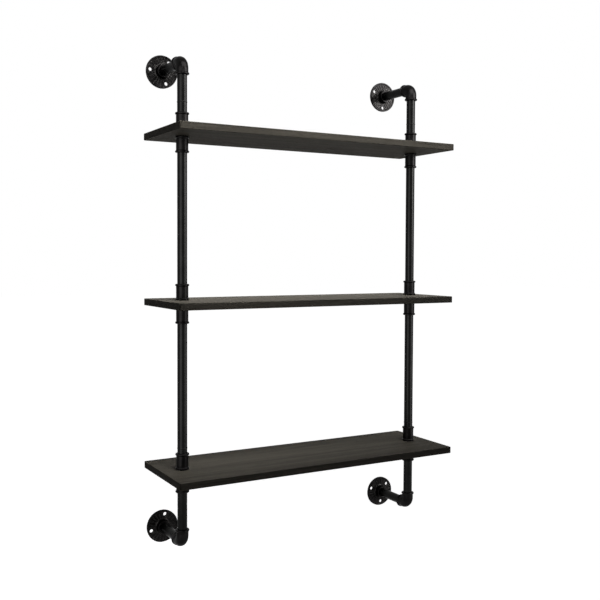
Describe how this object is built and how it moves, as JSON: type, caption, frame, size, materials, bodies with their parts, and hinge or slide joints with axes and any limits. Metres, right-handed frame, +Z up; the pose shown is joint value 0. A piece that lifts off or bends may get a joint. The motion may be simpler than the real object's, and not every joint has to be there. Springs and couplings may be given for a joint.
{
  "type": "pipe shelving unit",
  "caption": "Wall-hung shelving unit with wooden boards clamped between couplings on two threaded pipe columns, held off the wall by elbows and round flanges.",
  "frame": {"origin": "on the wall plane, midway between the two columns and level with the middle board: the centre of the four wall flanges", "axes": "+X to the right as seen from the front, +Y towards the wall, +Z up"},
  "size_m": [0.7, 0.236, 1.1067],
  "materials": {
    "black_pipe": "satin black, smooth",
    "black_fitting": "satin black over fine cast grain",
    "dark_wood": "dark charcoal-brown stain, matt, long straight grain"
  },
  "bodies": {
    "root": {"top_board": "dark_wood", "middle_board": "dark_wood", "bottom_board": "dark_wood", "left_top_flange": "black_fitting", "left_top_wall_pipe": "black_pipe", "left_top_elbow": "black_fitting", "left_top_riser": "black_pipe", "left_top_shelf_upper_coupling": "black_fitting", "left_top_shelf_nipple": "black_pipe", "left_top_shelf_lower_coupling": "black_fitting", "left_upper_pipe": "black_pipe", "left_middle_shelf_upper_coupling": "black_fitting", "left_middle_shelf_nipple": "black_pipe", "left_middle_shelf_lower_coupling": "black_fitting", "left_lower_pipe": "black_pipe", "left_bottom_shelf_upper_coupling": "black_fitting", "left_bottom_shelf_nipple": "black_pipe", "left_bottom_shelf_lower_coupling": "black_fitting", "left_bottom_riser": "black_pipe", "left_bottom_elbow": "black_fitting", "left_bottom_wall_pipe": "black_pipe", "left_bottom_flange": "black_fitting", "right_top_flange": "black_fitting", "right_top_wall_pipe": "black_pipe", "right_top_elbow": "black_fitting", "right_top_riser": "black_pipe", "right_top_shelf_upper_coupling": "black_fitting", "right_top_shelf_nipple": "black_pipe", "right_top_shelf_lower_coupling": "black_fitting", "right_upper_pipe": "black_pipe", "right_middle_shelf_upper_coupling": "black_fitting", "right_middle_shelf_nipple": "black_pipe", "right_middle_shelf_lower_coupling": "black_fitting", "right_lower_pipe": "black_pipe", "right_bottom_shelf_upper_coupling": "black_fitting", "right_bottom_shelf_nipple": "black_pipe", "right_bottom_shelf_lower_coupling": "black_fitting", "right_bottom_riser": "black_pipe", "right_bottom_elbow": "black_fitting", "right_bottom_wall_pipe": "black_pipe", "right_bottom_flange": "black_fitting"}
  },
  "joints": []
}
